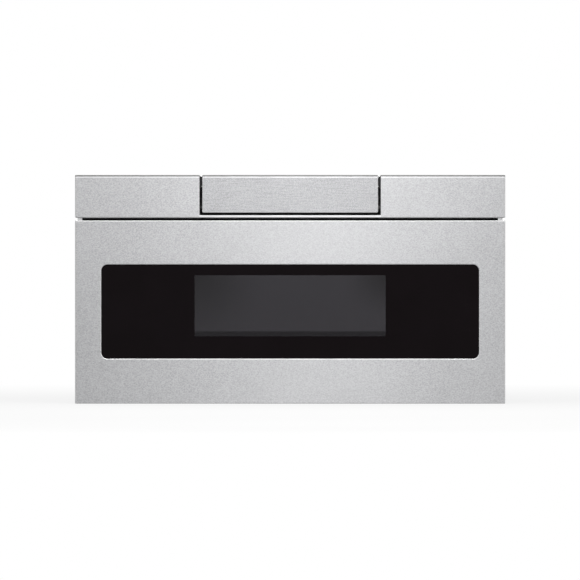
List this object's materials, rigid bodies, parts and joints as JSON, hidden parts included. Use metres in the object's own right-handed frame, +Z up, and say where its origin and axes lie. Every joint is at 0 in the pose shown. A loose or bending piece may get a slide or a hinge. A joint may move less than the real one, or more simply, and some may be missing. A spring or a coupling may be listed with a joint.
{
  "type": "microwave drawer",
  "caption": "Built-in microwave drawer with a stainless face, black glass window, motor-driven bin on telescopic slides and a tilting control flap.",
  "frame": {"origin": "middle of the lower front edge of the cabinet cut-out, on the underside of the base plate", "axes": "+X to the right seen by the user, +Y into the cabinet, +Z up; the face is on the -Y side"},
  "size_m": [0.7588, 0.595, 0.4032],
  "materials": {
    "stainless": "fine horizontal grain",
    "door_glass": "black glass, polished",
    "window_glass": "clear toughened glass",
    "galvanised": "galvanised sheet",
    "black_enamel": "satin black",
    "cavity_enamel": "light grey enamel",
    "black_plastic": "satin moulded",
    "grey_plastic": "satin moulded",
    "tray_glass": "frosted",
    "mica": "matte",
    "rubber": "matte",
    "nylon": "matte",
    "slide_steel": "zinc plated",
    "screw_steel": "bright zinc",
    "aluminium": "mill finish",
    "transformer_iron": "varnished laminations",
    "motor_steel": "plated",
    "circuit_board": "lacquered board",
    "bulb_glass": "clear",
    "key_glass": "black glass, polished"
  },
  "bodies": {
    "case": {"base_plate": "galvanised", "left_side_panel": "galvanised", "right_side_panel": "galvanised", "rear_panel": "galvanised", "top_cover": "galvanised", "front_frame": "galvanised", "gap_gasket": "rubber", "oven_cavity": "cavity_enamel", "waveguide": "aluminium", "stirrer_cover": "mica", "stirrer_motor": "motor_steel", "magnetron": "aluminium", "high_voltage_transformer": "transformer_iron", "high_voltage_capacitor": "aluminium", "fan_shroud": "black_plastic", "fan_motor": "motor_steel", "lamp_holder": "galvanised", "lamp_bulb": "bulb_glass", "noise_filter": "circuit_board", "power_board": "circuit_board", "slide_supports": "galvanised", "outer_slides": "slide_steel", "shaft_bushes": "nylon", "drive_motor": "motor_steel", "switch_bracket": "galvanised", "interlock_switches": "black_plastic", "fascia": "stainless", "panel_housing": "black_plastic", "panel_damper": "black_plastic", "cord_gland": "rubber", "case_screws": "screw_steel"},
    "drawer": {"door_skin": "stainless", "door_glass": "door_glass", "door_core": "black_enamel", "choke_frame": "black_enamel", "choke_cover": "black_plastic", "inner_window": "window_glass", "drawer_bin": "grey_plastic", "drawer_tray": "tray_glass", "left_drawer_arm": "slide_steel", "right_drawer_arm": "slide_steel", "left_rack": "nylon", "right_rack": "nylon", "inner_slides": "slide_steel", "interlock_tongue": "nylon", "arm_screws": "screw_steel"},
    "left_slide": {"left_middle_slide": "slide_steel"},
    "right_slide": {"right_middle_slide": "slide_steel"},
    "drive_shaft": {"drive_shaft": "slide_steel", "rack_pinions": "nylon", "shaft_gear": "nylon"},
    "motor_gear": {"motor_gear": "nylon"},
    "control_panel": {"control_flap": "stainless", "panel_wedge": "black_plastic", "key_glass": "key_glass", "panel_cover": "black_plastic", "panel_gear": "nylon"},
    "damper_pinion": {"damper_pinion": "nylon"},
    "stirrer": {"stirrer": "aluminium"},
    "fan_wheel": {"fan_wheel": "black_plastic"}
  },
  "joints": [
    {"name": "drawer_slide", "type": "slide", "parent": "case", "child": "drawer", "axis": [0, -1, 0], "range_m": [0, 0.381]},
    {"name": "left_slide_run", "type": "slide", "parent": "case", "child": "left_slide", "axis": [0, -1, 0], "range_m": [0, 0.191]},
    {"name": "right_slide_run", "type": "slide", "parent": "case", "child": "right_slide", "axis": [0, -1, 0], "range_m": [0, 0.191]},
    {"name": "drive_shaft_turn", "type": "hinge", "parent": "case", "child": "drive_shaft", "pos_m": [0, 0.048, 0.025], "axis": [1, 0, 0], "range_deg": [-1, 1214]},
    {"name": "motor_gear_turn", "type": "hinge", "parent": "case", "child": "motor_gear", "pos_m": [0.06, 0.078, 0.025], "axis": [1, 0, 0], "range_deg": [-1821, 1]},
    {"name": "control_panel_tilt", "type": "hinge", "parent": "case", "child": "control_panel", "pos_m": [0, -0.025, 0.3328], "axis": [1, 0, 0], "range_deg": [0, 85]},
    {"name": "damper_pinion_turn", "type": "hinge", "parent": "case", "child": "damper_pinion", "pos_m": [0.157, -0.01121, 0.34437], "axis": [1, 0, 0], "range_deg": [-171, 1]},
    {"name": "stirrer_turn", "type": "hinge", "parent": "case", "child": "stirrer", "pos_m": [0, 0.212, 0.268], "axis": [0, 0, 1], "continuous": true},
    {"name": "fan_turn", "type": "hinge", "parent": "case", "child": "fan_wheel", "pos_m": [0.205, 0.54, 0.15], "axis": [0, 1, 0], "continuous": true}
  ],
  "couplings": [
    {"joint": "left_slide_run", "follows": "drawer_slide", "ratio": 0.5},
    {"joint": "right_slide_run", "follows": "drawer_slide", "ratio": 0.5},
    {"joint": "drive_shaft_turn", "follows": "drawer_slide", "rad_per_m": 55.556},
    {"joint": "motor_gear_turn", "follows": "drawer_slide", "rad_per_m": -83.333},
    {"joint": "damper_pinion_turn", "follows": "control_panel_tilt", "ratio": -2}
  ]
}
